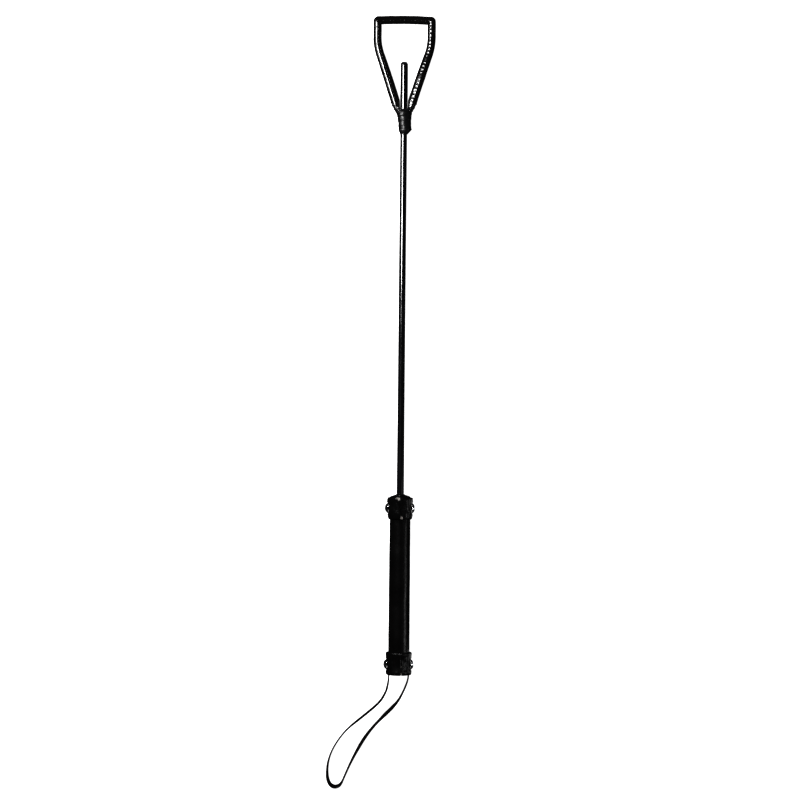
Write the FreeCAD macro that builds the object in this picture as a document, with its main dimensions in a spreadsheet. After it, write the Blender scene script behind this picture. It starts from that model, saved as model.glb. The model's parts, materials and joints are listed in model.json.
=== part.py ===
import FreeCAD, Part
import math
import os
import re

import Sketcher

# A riding crop with a stirrup-shaped loop head, in millimetres.
#
# Every piece is drawn along the crop's own axis: X to the right, Y from the butt towards the head, Z up
# through the front, with the butt end at Y = 0. One placement then lays the whole crop on a table, where
# it rests on the upper collar's rim and on the bar of the loop. The wrist strap is drawn on that table.

V = FreeCAD.Vector

SIZES = [
    ("fit", 0.05, "clearance between pieces that touch"),
    ("past", 1.0, "how far a cutting tool runs past the piece"),
    # shaft
    ("rod_r", 2.3, "core rod"),
    ("rod_foot", 24.5, "lower end of the core rod"),
    ("rod_top", 566.0, "upper end of the core rod"),
    ("sleeve_foot_r", 3.0, "glossy sleeve at the grip"),
    ("sleeve_neck_r", 2.85, "glossy sleeve at the neck"),
    ("sleeve_foot", 159.0, "lower end of the sleeve, inside the grip"),
    ("sleeve_top", 521.6, "upper end of the sleeve, inside the neck"),
    ("tip_foot_r", 3.15, "tip cap at the neck"),
    ("tip_top_r", 2.9, "tip cap below its dome"),
    ("tip_top", 568.7, "top of the dome"),
    ("tip_dome_r", 2.7, "rounding of the dome"),
    ("tip_gap", 0.3, "from the sleeve's end to the tip cap"),
    ("bore_spare", 0.2, "from the rod's end to the end of the cap's bore"),
    # loop head
    ("bar_along", 607.0, "centre of the loop's straight bar"),
    ("leg_across", 25.2, "centre of a leg at the bar"),
    ("leg_knee", 585.3, "where a leg starts to close in"),
    ("leg_knee_r", 53.0, "bend of a leg"),
    ("neck_across", 3.82, "centre of the wire beside the shaft"),
    ("neck_knee", 520.0, "where the wire turns along the shaft"),
    ("neck_knee_r", 8.0, "bend of the wire at the neck"),
    ("wire_foot", 503.5, "lower end of the wire"),
    ("wire_r", 0.9, "spring wire"),
    ("wire_corner_r", 3.0, "bend of the wire at the bar's ends"),
    ("pad_r", 2.7, "padding round the wire"),
    ("loop_r", 3.5, "leather cover of the loop"),
    ("taper_top", 534.0, "where the cover starts to narrow"),
    ("taper_foot", 524.6, "lower end of the cover"),
    ("taper_foot_r", 2.1, "cover at its lower end"),
    ("stitch_r", 0.3, "sewing thread"),
    ("stitch_len", 2.1, "one stitch"),
    ("stitch_pitch", 3.3, "from one stitch to the next"),
    # neck binding
    ("wrap_foot", 501.5, "lower end of the wrap"),
    ("wrap_mid", 511.0, "narrowest place of the wrap"),
    ("wrap_top", 523.4, "upper end of the wrap"),
    ("wrap_foot_x", 6.15, "half width of the wrap at its lower end"),
    ("wrap_mid_x", 5.95, "half width at the narrowest place"),
    ("wrap_top_x", 7.3, "half width at its upper end"),
    ("wrap_foot_z", 4.3, "half depth at its lower end"),
    ("wrap_mid_z", 4.3, "half depth at the narrowest place"),
    ("wrap_top_z", 4.7, "half depth at its upper end"),
    ("wrap_wall", 0.65, "thickness of the wrap"),
    ("lashing_wall", 0.35, "thickness of the thread lashing under the wrap"),
    # grip
    ("butt_core_r", 10.35, "wooden core inside the lower collar"),
    ("core_r", 8.0, "wooden core inside the grip cover"),
    ("core_foot", 1.5, "lower end of the wooden core"),
    ("core_step", 15.2, "where the core gets thinner"),
    ("core_top", 164.2, "upper end of the wooden core"),
    ("cover_r", 9.4, "leather grip cover"),
    ("disc_foot", 0.3, "outer face of the butt disc"),
    ("cap_top", 167.0, "top of the shoulder cap"),
    ("cap_side", 1.3, "height of the shoulder cap's side"),
    ("cap_draft", 0.3, "how far that side leans in"),
    ("cap_shoulder", 3.2, "from the cap's edge to where its slope ends"),
    ("cap_fall", 0.5, "drop from the cap's top to where its slope ends"),
    ("cap_lip", 1.2, "width of the cap's flat top round the shaft"),
    # collars
    ("lower_r", 11.65, "lower collar between its rims"),
    ("lower_rim_r", 12.05, "lower collar's rims"),
    ("lower_top", 21.0, "upper edge of the lower collar"),
    ("upper_r", 11.1, "upper collar between its rims"),
    ("upper_rim_r", 11.75, "upper collar's top rim"),
    ("upper_lip_r", 11.4, "upper collar's lower rim"),
    ("upper_foot", 143.5, "lower edge of the upper collar"),
    ("upper_top", 164.5, "upper edge of the upper collar"),
    ("rim_drop", 2.0, "from a collar's edge to its rim"),
    ("rim_fade", 6.0, "from a collar's edge to where the rim has died away"),
    ("lower_draw", 0.5, "how far the lower collar's top edge is drawn in"),
    ("upper_draw", 0.3, "how far the upper collar's foot is drawn in"),
    ("step_slope", 0.6, "height of the slope inside the lower collar, over the core's step"),
    ("lower_seam", 2.2, "where the lower band's ends meet, across"),
    ("top_seam", -1.8, "where the upper band's ends meet at its top edge, across"),
    ("foot_seam", 1.5, "where the upper band's ends meet at its foot, across"),
    ("notch_deep", 4.0, "depth of a notch where a band's ends meet"),
    ("notch_half", 1.7, "half width of a notch"),
    ("seam_half", 0.15, "half width of the slit between a band's ends"),
    # dome-headed nails
    ("nail_r", 1.3, "shank"),
    ("nail_tip", 4.5, "distance of the point from the axis"),
    ("nail_seat", 11.2, "distance of the head's underside from the axis"),
    ("head_r", 4.5, "edge of the domed head"),
    ("seat_spare", 0.2, "clearance round the head in its seat"),
    ("head_high", 2.8, "height of the dome"),
    ("lower_nail", 9.7, "nails of the lower collar"),
    ("upper_nail", 153.9, "nails of the upper collar"),
    # wrist strap
    ("strap_wide", 7.0, "width of the strap"),
    ("strap_thick", 1.3, "thickness of the strap"),
    ("tail_across", 9.05, "centre of a strap tail"),
    ("tail_top", 15.0, "inner end of a strap tail"),
    ("slot_reach", 4.0, "from the tail's inner face to past the core's side"),
    ("hinge_along", -5.0, "where the strap swings, just below the collar"),
]
ALIASES = {alias for alias, _, _ in SIZES}

# The strap's route on the table: across, along from the butt, and height of the strap's middle. Its first
# and last points are at the sway gap, below the left and the right link.
LOOP_ROUTE = [
    (-12.8, -18.6, 14.0), (-17.0, -25.4, 12.9), (-25.2, -33.2, 10.8), (-36.6, -42.8, 7.9),
    (-47.2, -51.8, 5.6), (-55.2, -61.6, 4.2), (-61.4, -72.2, 3.6), (-64.9, -82.6, 3.55),
    (-65.7, -92.4, 3.55), (-64.9, -99.4, 3.55), (-61.8, -103.8, 3.55), (-57.2, -105.0, 3.55),
    (-52.8, -102.8, 3.55), (-49.0, -95.0, 3.55), (-44.4, -84.6, 3.6), (-38.8, -73.4, 3.8),
    (-32.2, -61.6, 4.6), (-24.2, -50.6, 6.2), (-14.8, -40.2, 8.6), (-6.2, -31.6, 11.2),
    (-0.4, -24.8, 13.0), (3.0, -18.6, 14.0),
]
LEFT_LINK_ROUTE = [(-9.5, -8.9, 14.8), (-10.8, -13.2, 14.7)]
RIGHT_LINK_ROUTE = [(8.3, -9.3, 14.8), (5.9, -13.2, 14.7)]
ARC_SHARE = 0.45  # how much of the shorter run each end of an arc takes
SEAM_LEAN = 15  # degrees from the front towards the inside of a leg, where its seam runs
BARE_TOP, BARE_FOOT = 2, 1  # stitch places left out at the top and at the foot of a leg

doc = FreeCAD.newDocument("riding_crop")
sheet = doc.addObject("Spreadsheet::Sheet", "Sizes")
for row, (alias, value, note) in enumerate(SIZES, 1):
    sheet.set(f"A{row}", alias)
    sheet.set(f"B{row}", str(value))
    sheet.set(f"C{row}", note)
    sheet.setAlias(f"B{row}", alias)
doc.recompute()

SUBPARTS = []


# ---------------------------------------------------------------- sizes and bindings


def size(formula):
    """The value in millimetres of a formula over the sheet's aliases."""
    value = sheet.evalExpression(formula)
    return float(getattr(value, "Value", value))


def bind(thing, prop, formula):
    """Tie a property to a formula over the sheet's aliases."""
    linked = re.sub(
        r"[a-z][a-z_]*",
        lambda word: f"Sizes.{word.group()}" if word.group() in ALIASES else word.group(),
        formula,
    )
    thing.setExpression(prop, linked)


def bind_place(thing, across="0", along="0", up="0"):
    for letter, formula in zip("xyz", (across, along, up)):
        bind(thing, f"Placement.Base.{letter}", formula)


def keep(thing, label):
    """Name a finished sub-part and lay it on the table."""
    thing.Label = label
    SUBPARTS.append(thing)
    return thing


# ---------------------------------------------------------------- bodies with sketches


def new_body(label):
    return keep(doc.addObject("PartDesign::Body", label), label)


def outline(body, name, corners):
    """A closed outline in the body's XY plane, with every corner tied to the sheet."""
    sketch = body.newObject("Sketcher::SketchObject", name)
    planes = {feature.Role: feature for feature in body.Origin.OriginFeatures}
    sketch.AttachmentSupport = [(planes["XY_Plane"], "")]
    sketch.MapMode = "FlatFace"
    places = [V(size(across), size(along), 0) for across, along in corners]
    for here, there in zip(places, places[1:] + places[:1]):
        sketch.addGeometry(Part.LineSegment(here, there), False)
    for side in range(len(corners)):
        following = (side + 1) % len(corners)
        sketch.addConstraint(Sketcher.Constraint("Coincident", side, 2, following, 1))
    for side, corner in enumerate(corners):
        for kind, formula in zip(("DistanceX", "DistanceY"), corner):
            datum = Sketcher.Constraint(kind, -1, 1, side, 1, size(formula))
            bind(sketch, f"Constraints[{sketch.addConstraint(datum)}]", formula)
    return sketch


def turned(label, corners):
    """A body turned about the crop's axis from an outline of (radius, along) corners."""
    body = new_body(label)
    sketch = outline(body, f"{label}_outline", corners)
    turn = body.newObject("PartDesign::Revolution", f"{label}_turn")
    turn.Profile = sketch
    turn.ReferenceAxis = (sketch, ["V_Axis"])
    turn.Angle = 360
    sketch.Visibility = False
    doc.recompute()
    return body


def round_edge(body, along, radius):
    """Round the body's outermost circular edge at the height along."""
    circles = [
        (edge.Curve.Radius, f"Edge{number}")
        for number, edge in enumerate(body.Shape.Edges, 1)
        if isinstance(edge.Curve, Part.Circle) and abs(edge.Curve.Center.y - size(along)) < 0.01
    ]
    turned_solid = body.Tip
    fillet = body.newObject("PartDesign::Fillet", f"{body.Label}_round")
    fillet.Base = (turned_solid, [max(circles)[1]])
    bind(fillet, "Radius", radius)
    doc.recompute()


def cut_front(body, name, corners):
    """Cut an outline out of the front wall of a turned body, from the axis forwards."""
    before = body.Shape.copy()
    pocket = body.newObject("PartDesign::Pocket", name)
    pocket.Profile = outline(body, f"{name}_outline", corners)
    pocket.Type = "ThroughAll"
    pocket.Reversed = True
    body.Tip = pocket
    doc.recompute()
    gone = before.cut(body.Shape)
    if gone.Volume < 1 or gone.BoundBox.ZMin < 0:
        raise RuntimeError(f"{name} did not cut the front wall")


def cut_hole(body, name, side, along, start, reach, radius):
    """Drill a hole along X on one side, from start to reach away from the axis."""
    hole = body.newObject("PartDesign::SubtractiveCylinder", name)
    hole.Placement = FreeCAD.Placement(V(), FreeCAD.Rotation(V(0, 1, 0), side * 90))
    bind(hole, "Radius", radius)
    bind(hole, "Height", f"{reach} - ({start})")
    bind_place(hole, f"{side} * ({start})", along)
    doc.recompute()


def cut_strap_slot(body, name, side, foot, top):
    """Cut the slot that a strap tail lies in, on one side."""
    slot = body.newObject("PartDesign::SubtractiveBox", name)
    inner = "tail_across - strap_thick / 2 - fit"
    bind(slot, "Length", "slot_reach")
    bind(slot, "Width", f"{top} - ({foot})")
    bind(slot, "Height", "strap_wide + 2 * fit")
    start = inner if side > 0 else f"-({inner}) - slot_reach"
    bind_place(slot, start, foot, "-strap_wide / 2 - fit")
    doc.recompute()


# ---------------------------------------------------------------- Part primitives and booleans


def cylinder(name, radius, height, across="0", along="0", turn=None):
    solid = doc.addObject("Part::Cylinder", name)
    solid.Placement = FreeCAD.Placement(V(), turn or FreeCAD.Rotation(V(1, 0, 0), -90))
    bind(solid, "Radius", radius)
    bind(solid, "Height", height)
    bind_place(solid, across, along)
    return solid


def fuse(name, solids):
    whole = doc.addObject("Part::MultiFuse", name)
    whole.Shapes = solids
    return whole


def cut(name, solid, tools):
    """Cut one or more tools out of a solid."""
    rest = doc.addObject("Part::Cut", name)
    rest.Base = solid
    rest.Tool = tools[0] if len(tools) == 1 else fuse(f"{name}_tools", tools)
    return rest


def oval_loft(name, sections):
    """A loft through ovals square to the crop's axis, each (along, half width, half depth)."""
    ovals = []
    for number, (along, wide, deep) in enumerate(sections):
        oval = doc.addObject("Part::Ellipse", f"{name}_oval_{number}")
        oval.Placement = FreeCAD.Placement(V(), FreeCAD.Rotation(V(1, 0, 0), 90))
        bind(oval, "MajorRadius", wide)
        bind(oval, "MinorRadius", deep)
        bind_place(oval, "0", along)
        ovals.append(oval)
    loft = doc.addObject("Part::Loft", name)
    loft.Sections = ovals
    loft.Solid = True
    return loft


# ---------------------------------------------------------------- routes of straight runs and tangent arcs


def arc_radius(before, corner, after):
    """The largest arc that the two runs at a corner leave room for."""
    turn = (corner - before).getAngle(after - corner)
    return ARC_SHARE * min((corner - before).Length, (after - corner).Length) / math.tan(turn / 2)


def route_wire(points, radii):
    """One wire of straight runs joined by tangent arcs, with a radius for each inner point."""
    edges, here = [], points[0]
    for before, corner, after, radius in zip(points, points[1:], points[2:], radii):
        way_in, way_out = (corner - before).normalize(), (after - corner).normalize()
        turn = way_in.getAngle(way_out)
        setback = radius * math.tan(turn / 2)
        start, end = corner - way_in * setback, corner + way_out * setback
        inward = (way_out - way_in).normalize()
        middle = corner + inward * (radius / math.cos(turn / 2) - radius)
        edges += [Part.LineSegment(here, start).toShape(), Part.Arc(start, middle, end).toShape()]
        here = end
    edges.append(Part.LineSegment(here, points[-1]).toShape())
    return Part.Wire(edges)


def spine(name, points, radii):
    line = doc.addObject("Part::Feature", name)
    line.Shape = route_wire(points, radii)
    return line


def swept(name, line, radius):
    """A round rod swept along a spine."""
    ring = doc.addObject("Part::Circle", f"{name}_ring")
    first = line.Shape.Edges[0]
    start = first.valueAt(first.FirstParameter)
    heading = first.tangentAt(first.FirstParameter)
    ring.Placement = FreeCAD.Placement(start, FreeCAD.Rotation(V(0, 0, 1), heading))
    bind(ring, "Radius", radius)
    rod = doc.addObject("Part::Sweep", name)
    rod.Sections = [ring]
    rod.Spine = (line, [f"Edge{number}" for number in range(1, len(line.Shape.Edges) + 1)])
    rod.Solid = True
    return rod


# ---------------------------------------------------------------- shaft


def make_shaft():
    turned("shaft_core", [
        ("0", "rod_foot"), ("rod_r", "rod_foot"), ("rod_r", "rod_top"), ("0", "rod_top"),
    ])
    turned("shaft_sleeve", [
        ("rod_r + fit", "sleeve_foot"), ("sleeve_foot_r", "sleeve_foot"),
        ("sleeve_neck_r", "sleeve_top"), ("rod_r + fit", "sleeve_top"),
    ])
    tip_foot, bore_end = "sleeve_top + tip_gap", "rod_top + bore_spare"
    cap = turned("tip_cap", [
        ("rod_r + fit", tip_foot), ("tip_foot_r", tip_foot), ("tip_top_r", "tip_top"),
        ("0", "tip_top"), ("0", bore_end), ("rod_r + fit", bore_end),
    ])
    round_edge(cap, "tip_top", "tip_dome_r")


# ---------------------------------------------------------------- loop head


def leg_at(along):
    """The centre of the right leg's straight stretch at a height along the crop."""
    lean = (size("leg_across") - size("neck_across")) / (size("leg_knee") - size("neck_knee"))
    return V(size("neck_across") + lean * (along - size("neck_knee")), along, 0)


def mirrored(point):
    return V(-point.x, point.y, point.z)


def make_wire_spine():
    right = [
        V(size("leg_across"), size("bar_along"), 0),
        V(size("leg_across"), size("leg_knee"), 0),
        V(size("neck_across"), size("neck_knee"), 0),
        V(size("neck_across"), size("wire_foot"), 0),
    ]
    radii = [size("wire_corner_r"), size("leg_knee_r"), size("neck_knee_r")]
    left = [mirrored(point) for point in reversed(right)]
    return spine("wire_spine", left + right, radii[::-1] + radii)


def make_pad_spine():
    right = [
        V(size("leg_across"), size("bar_along"), 0),
        V(size("leg_across"), size("leg_knee"), 0),
        leg_at(size("taper_top")),
    ]
    radii = [size("wire_corner_r"), size("leg_knee_r")]
    left = [mirrored(point) for point in reversed(right)]
    return spine("pad_spine", left + right, radii[::-1] + radii)


def make_leg_spine(side):
    points = [
        V(side * size("leg_across"), size("bar_along"), 0),
        V(side * size("leg_across"), size("leg_knee"), 0),
        leg_at(size("taper_top")) if side > 0 else mirrored(leg_at(size("taper_top"))),
    ]
    return spine(f"leg_spine_{'right' if side > 0 else 'left'}", points, [size("leg_knee_r")])


def make_taper(side):
    """The narrowing lower end of the cover, in line with one leg."""
    top, foot = leg_at(size("taper_top")), leg_at(size("taper_foot"))
    if side < 0:
        top, foot = mirrored(top), mirrored(foot)
    cone = doc.addObject("Part::Cone", f"taper_{'right' if side > 0 else 'left'}")
    cone.Placement = FreeCAD.Placement(foot, FreeCAD.Rotation(V(0, 0, 1), top - foot))
    cone.Height = (top - foot).Length
    bind(cone, "Radius1", "taper_foot_r")
    bind(cone, "Radius2", "loop_r")
    return cone


def make_corner(side):
    ball = doc.addObject("Part::Sphere", f"corner_{'right' if side > 0 else 'left'}")
    bind(ball, "Radius", "loop_r")
    bind_place(ball, f"{side} * leg_across", "bar_along")
    return ball


def make_loop():
    wire_line, pad_line = make_wire_spine(), make_pad_spine()
    leg_lines = {side: make_leg_spine(side) for side in (-1, 1)}
    keep(swept("head_wire", wire_line, "wire_r"), "head_wire")
    padding = cut("head_padding", swept("pad_rod", pad_line, "pad_r"),
                  [swept("pad_bore", wire_line, "wire_r + fit")])
    keep(padding, "head_padding")
    solids = [cylinder("bar", "loop_r", "2 * leg_across", "-leg_across", "bar_along",
                       FreeCAD.Rotation(V(0, 1, 0), 90))]
    for side in (-1, 1):
        leg = swept(f"leg_{side + 1}", leg_lines[side], "loop_r")
        solids += [leg, make_taper(side), make_corner(side)]
    cover = cut("head_cover", fuse("cover_outside", solids), [
        swept("cover_bore", pad_line, "pad_r + fit"), swept("cover_wire_bore", wire_line, "wire_r + fit"),
    ])
    keep(cover, "head_cover")
    make_stitches(leg_lines)


def make_stitches(leg_lines):
    """The seam's stitches, down the front of both legs and a little towards the inside."""
    stitches = []
    for side, leg_line in leg_lines.items():
        line = leg_line.Shape
        count = int(line.Length / size("stitch_pitch"))
        places = line.discretize(Number=count + 1)[BARE_TOP:-BARE_FOOT]
        for number, (here, there) in enumerate(zip(places, places[1:])):
            heading = (there - here).normalize()
            outward = FreeCAD.Rotation(heading, -side * SEAM_LEAN).multVec(V(0, 0, 1))
            foot = here + outward * size("loop_r + stitch_r + fit")
            stitch = doc.addObject("Part::Cylinder", f"stitch_{side + 1}_{number}")
            stitch.Placement = FreeCAD.Placement(foot, FreeCAD.Rotation(V(0, 0, 1), heading))
            bind(stitch, "Radius", "stitch_r")
            bind(stitch, "Height", "stitch_len")
            stitches.append(stitch)
    group = doc.addObject("Part::Compound", "head_stitching")
    group.Links = stitches
    keep(group, "head_stitching")


def neck_shell(label, outside, inside):
    """An oval shell round the shaft and the loop's two wires, set in from the wrap's surface."""
    def oval(depth):
        return [
            (f"wrap_{level}", f"wrap_{level}_x - ({depth})", f"wrap_{level}_z - ({depth})")
            for level in ("foot", "mid", "top")
        ]

    outer = oval_loft(f"{label}_outside", oval(outside))
    keep(cut(label, outer, [oval_loft(f"{label}_inside", oval(inside))]), label)


def make_neck():
    neck_shell("neck_wrap", "0", "wrap_wall")
    neck_shell("neck_lashing", "wrap_wall + fit", "wrap_wall + fit + lashing_wall")


# ---------------------------------------------------------------- grip


def make_grip():
    bore_foot = "rod_foot - fit"
    core = turned("grip_core", [
        ("0", "core_foot"), ("butt_core_r", "core_foot"), ("butt_core_r", "core_step"),
        ("core_r", "core_step"), ("core_r", "core_top"), ("sleeve_foot_r + fit", "core_top"),
        ("sleeve_foot_r + fit", "sleeve_foot - fit"), ("rod_r + fit", "sleeve_foot - fit"),
        ("rod_r + fit", bore_foot), ("0", bore_foot),
    ])
    cover = turned("grip_cover", [
        ("core_r + fit", "core_step + fit"), ("cover_r", "core_step + fit"),
        ("cover_r", "core_top"), ("core_r + fit", "core_top"),
    ])
    for side, name in ((-1, "left"), (1, "right")):
        cut_strap_slot(core, f"core_slot_{name}", side, "core_foot - past", "core_step + past")
        shank_hole = ("nail_tip - fit", "nail_seat", "nail_r + fit")
        for height in ("lower_nail", "upper_nail"):
            cut_hole(core, f"core_{height}_{name}", side, height, *shank_hole)
        cut_hole(cover, f"cover_nail_{name}", side, "upper_nail", *shank_hole)


def make_ends():
    turned("upper_end_cap", [
        ("sleeve_foot_r + fit", "core_top + fit"), ("cover_r", "core_top + fit"),
        ("cover_r - cap_draft", "core_top + cap_side"), ("cover_r - cap_shoulder", "cap_top - cap_fall"),
        ("sleeve_foot_r + cap_lip", "cap_top"), ("sleeve_foot_r + fit", "cap_top"),
    ])
    disc = turned("butt_disc", [
        ("0", "disc_foot"), ("butt_core_r", "disc_foot"),
        ("butt_core_r", "core_foot - fit"), ("0", "core_foot - fit"),
    ])
    for side, name in ((-1, "left"), (1, "right")):
        cut_strap_slot(disc, f"disc_slot_{name}", side, "disc_foot - past", "core_foot + past")


def notch(body, name, across, edge, inwards):
    """A V-shaped notch in a collar's edge, where the ends of its band meet at the front."""
    cut_front(body, name, [
        (f"{across} - notch_half", f"{edge} - {inwards} * past"),
        (f"{across} + notch_half", f"{edge} - {inwards} * past"),
        (f"{across} + seam_half", f"{edge} + {inwards} * notch_deep"),
        (f"{across} - seam_half", f"{edge} + {inwards} * notch_deep"),
    ])


def make_collars():
    lower = turned("lower_collar", [
        ("butt_core_r + 2 * fit", "0"), ("lower_r", "0"), ("lower_rim_r", "rim_drop"),
        ("lower_r", "rim_fade"), ("lower_r", "lower_top - rim_fade"),
        ("lower_rim_r", "lower_top - rim_drop"), ("lower_r - lower_draw", "lower_top"),
        ("cover_r + fit", "lower_top"), ("cover_r + fit", "core_step + step_slope"),
        ("butt_core_r + 2 * fit", "core_step + 2 * fit"),
    ])
    upper = turned("upper_collar", [
        ("cover_r + fit", "upper_foot"), ("upper_r - upper_draw", "upper_foot"),
        ("upper_lip_r", "upper_foot + rim_drop"), ("upper_r", "upper_foot + rim_fade"),
        ("upper_r", "upper_top - rim_fade"), ("upper_rim_r", "upper_top - rim_drop"),
        ("upper_r", "upper_top"), ("cover_r + fit", "upper_top"),
    ])
    notch(lower, "lower_notch", "lower_seam", "0", 1)
    notch(upper, "upper_top_notch", "top_seam", "upper_top", -1)
    notch(upper, "upper_foot_notch", "foot_seam", "upper_foot", 1)
    for side, name in ((-1, "left"), (1, "right")):
        for collar, height in ((lower, "lower_nail"), (upper, "upper_nail")):
            stem, outside = f"{collar.Label}_{name}", "nail_seat + 2 * past"
            cut_hole(collar, f"{stem}_hole", side, height, "nail_tip", outside, "nail_r + fit")
            cut_hole(collar, f"{stem}_seat", side, height, "nail_seat - fit", outside, "head_r + seat_spare")


def make_nail(label, side, along):
    """A nail with a domed head, driven in along X from one side."""
    outward = FreeCAD.Rotation(V(0, 1, 0), side * 90)
    ball_r = "((head_r ^ 2 + head_high ^ 2) / (2 * head_high))"
    ball = doc.addObject("Part::Sphere", f"{label}_ball")
    bind(ball, "Radius", ball_r)
    bind_place(ball, f"{side} * (nail_seat + head_high - {ball_r})", along)
    seat, point = f"{side} * nail_seat", f"{side} * nail_tip"
    drum = cylinder(f"{label}_drum", "head_r + past", "head_high + past", seat, along, outward)
    dome = doc.addObject("Part::Common", f"{label}_dome")
    dome.Base, dome.Tool = ball, drum
    shank = cylinder(f"{label}_shank", "nail_r", "nail_seat + past - nail_tip", point, along, outward)
    keep(fuse(label, [dome, shank]), label)


# ---------------------------------------------------------------- wrist strap


def make_tail(label, side):
    """The fixed end of the strap: flat under the collar, with a round end on the swing axis."""
    block = doc.addObject("Part::Box", f"{label}_flat")
    bind(block, "Length", "strap_thick")
    bind(block, "Width", "tail_top - hinge_along")
    bind(block, "Height", "strap_wide")
    bind_place(block, f"{side} * tail_across - strap_thick / 2", "hinge_along", "-strap_wide / 2")
    along_x = FreeCAD.Rotation(V(0, 1, 0), 90)
    start = f"{side} * tail_across - strap_thick / 2"
    rounded = cylinder(f"{label}_end", "strap_wide / 2", "strap_thick", start, "hinge_along", along_x)
    hole = cylinder(f"{label}_hole", "nail_r + fit", "strap_thick + 2 * past", f"{start} - past",
                    "lower_nail", along_x)
    keep(cut(label, fuse(f"{label}_whole", [block, rounded]), [hole]), label)


def make_strap_piece(label, route, butt):
    """A flat strap along a route on the table, standing on its edge."""
    points = [V(across, butt.y + along, height) for across, along, height in route]
    radii = [arc_radius(*three) for three in zip(points, points[1:], points[2:])]
    line = route_wire(points, radii)
    heading = (points[1] - points[0]).normalize()
    wide, thick = size("strap_wide"), size("strap_thick")
    flat = V(-heading.y, heading.x, 0).normalize()
    upright = heading.cross(flat) * (-1 if heading.cross(flat).z < 0 else 1)
    corners = [
        points[0] + flat * (thick / 2 * a) + upright * (wide / 2 * b)
        for a, b in ((-1, -1), (1, -1), (1, 1), (-1, 1))
    ]
    sweep = Part.BRepOffsetAPI.MakePipeShell(line)
    sweep.setBiNormalMode(V(0, 0, 1))
    sweep.add(Part.makePolygon(corners + corners[:1]))
    sweep.build()
    sweep.makeSolid()
    piece = doc.addObject("Part::Feature", label)
    piece.Shape = sweep.shape()
    keep(piece, label)
    expected = wide * thick * line.Length
    print(f"{label}: {line.Length:.1f} mm long, volume {piece.Shape.Volume:.1f}, expected {expected:.1f}")
    print("  arc radii:", ", ".join(f"{radius:.1f}" for radius in radii))


# ---------------------------------------------------------------- the whole crop


def table_placement():
    """The crop lying on a table at height 0, on the upper collar's rim and the loop's bar."""
    rim_along = size("upper_top - rim_drop")
    tilt = math.asin((size("upper_rim_r") - size("loop_r")) / (size("bar_along") - rim_along))
    lift = size("loop_r") + size("bar_along") * math.sin(tilt)
    middle = size("bar_along + loop_r") * math.cos(tilt) / 2
    turn = FreeCAD.Rotation(V(1, 0, 0), -math.degrees(tilt))
    return FreeCAD.Placement(V(0, -middle, lift), turn)


make_shaft()
make_loop()
make_neck()
make_grip()
make_ends()
make_collars()
for side, name in ((-1, "left"), (1, "right")):
    make_nail(f"lower_nail_{name}", side, "lower_nail")
    make_nail(f"upper_nail_{name}", side, "upper_nail")
    make_tail(f"strap_tail_{name}", side)
doc.recompute()

laid = table_placement()
for piece in SUBPARTS:
    piece.Placement = laid
doc.recompute()

butt = laid.multVec(V())
make_strap_piece("strap_link_left", LEFT_LINK_ROUTE, butt)
make_strap_piece("strap_link_right", RIGHT_LINK_ROUTE, butt)
make_strap_piece("wrist_loop", LOOP_ROUTE, butt)
doc.recompute()

for thing in doc.Objects:
    if "Invalid" in thing.State or "Error" in thing.State:
        raise RuntimeError(f"{thing.Label} failed: {thing.State}")
for piece in SUBPARTS:
    if piece.Shape.isNull() or not piece.Shape.isValid() or piece.Shape.Volume <= 0:
        raise RuntimeError(f"{piece.Label} has no valid shape")

hinge = laid.multVec(V(0, size("hinge_along"), 0))
for name, place in (("butt", butt), ("strap hinge", hinge)):
    print(f"{name}:", ", ".join(f"{value:.2f}" for value in place))
os.makedirs("parts", exist_ok=True)
for piece in SUBPARTS:
    piece.Shape.exportStep(os.path.join("parts", f"{piece.Label}.step"))
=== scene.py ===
"""The looks of a riding crop with a stirrup-shaped loop head, lying on a table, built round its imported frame.

Shapes are drawn in the crop's own millimetres: across to the right, along from the butt to the head, and up
through the front. The function row_points() carries them into the frame, in metres.
"""

import json
import math

import bpy
import numpy as np
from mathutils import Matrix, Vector, noise


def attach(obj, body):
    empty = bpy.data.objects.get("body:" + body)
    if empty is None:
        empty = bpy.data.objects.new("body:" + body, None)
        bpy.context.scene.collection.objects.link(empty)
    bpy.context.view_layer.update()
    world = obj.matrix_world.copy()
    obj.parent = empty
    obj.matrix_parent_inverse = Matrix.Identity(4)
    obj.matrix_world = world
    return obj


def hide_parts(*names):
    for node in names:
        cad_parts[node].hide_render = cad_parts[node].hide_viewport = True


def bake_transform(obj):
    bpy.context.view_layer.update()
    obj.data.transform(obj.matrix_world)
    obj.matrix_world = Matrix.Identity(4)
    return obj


MM = 0.001
TAU = 2 * math.pi

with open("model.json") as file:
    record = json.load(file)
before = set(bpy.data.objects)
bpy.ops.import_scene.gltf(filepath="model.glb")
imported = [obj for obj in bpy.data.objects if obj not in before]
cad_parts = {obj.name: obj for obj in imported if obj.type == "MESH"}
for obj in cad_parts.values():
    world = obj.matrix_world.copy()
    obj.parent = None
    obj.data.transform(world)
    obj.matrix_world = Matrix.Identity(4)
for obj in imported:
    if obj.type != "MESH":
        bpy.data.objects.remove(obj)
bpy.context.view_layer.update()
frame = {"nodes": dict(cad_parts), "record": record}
mounts = {mount["name"]: Vector(mount["pos_m"]) for mount in frame["record"]["mounts"]}

# ---------------------------------------------------------------- the crop's own frame

GRIP_MOUNT_ALONG = 82.25  # the grip mount's distance from the butt
ALONG = (mounts["loop_hang"] - mounts["grip"]).normalized()
ACROSS = Vector((1, 0, 0))
UP = ACROSS.cross(ALONG)
BUTT = mounts["grip"] - ALONG * GRIP_MOUNT_ALONG * MM
AXES = np.array([ACROSS, ALONG, UP])


def row_points(points):
    """Crop millimetres to the row frame in metres."""
    return np.array(BUTT) + np.asarray(points, float) @ AXES * MM


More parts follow.
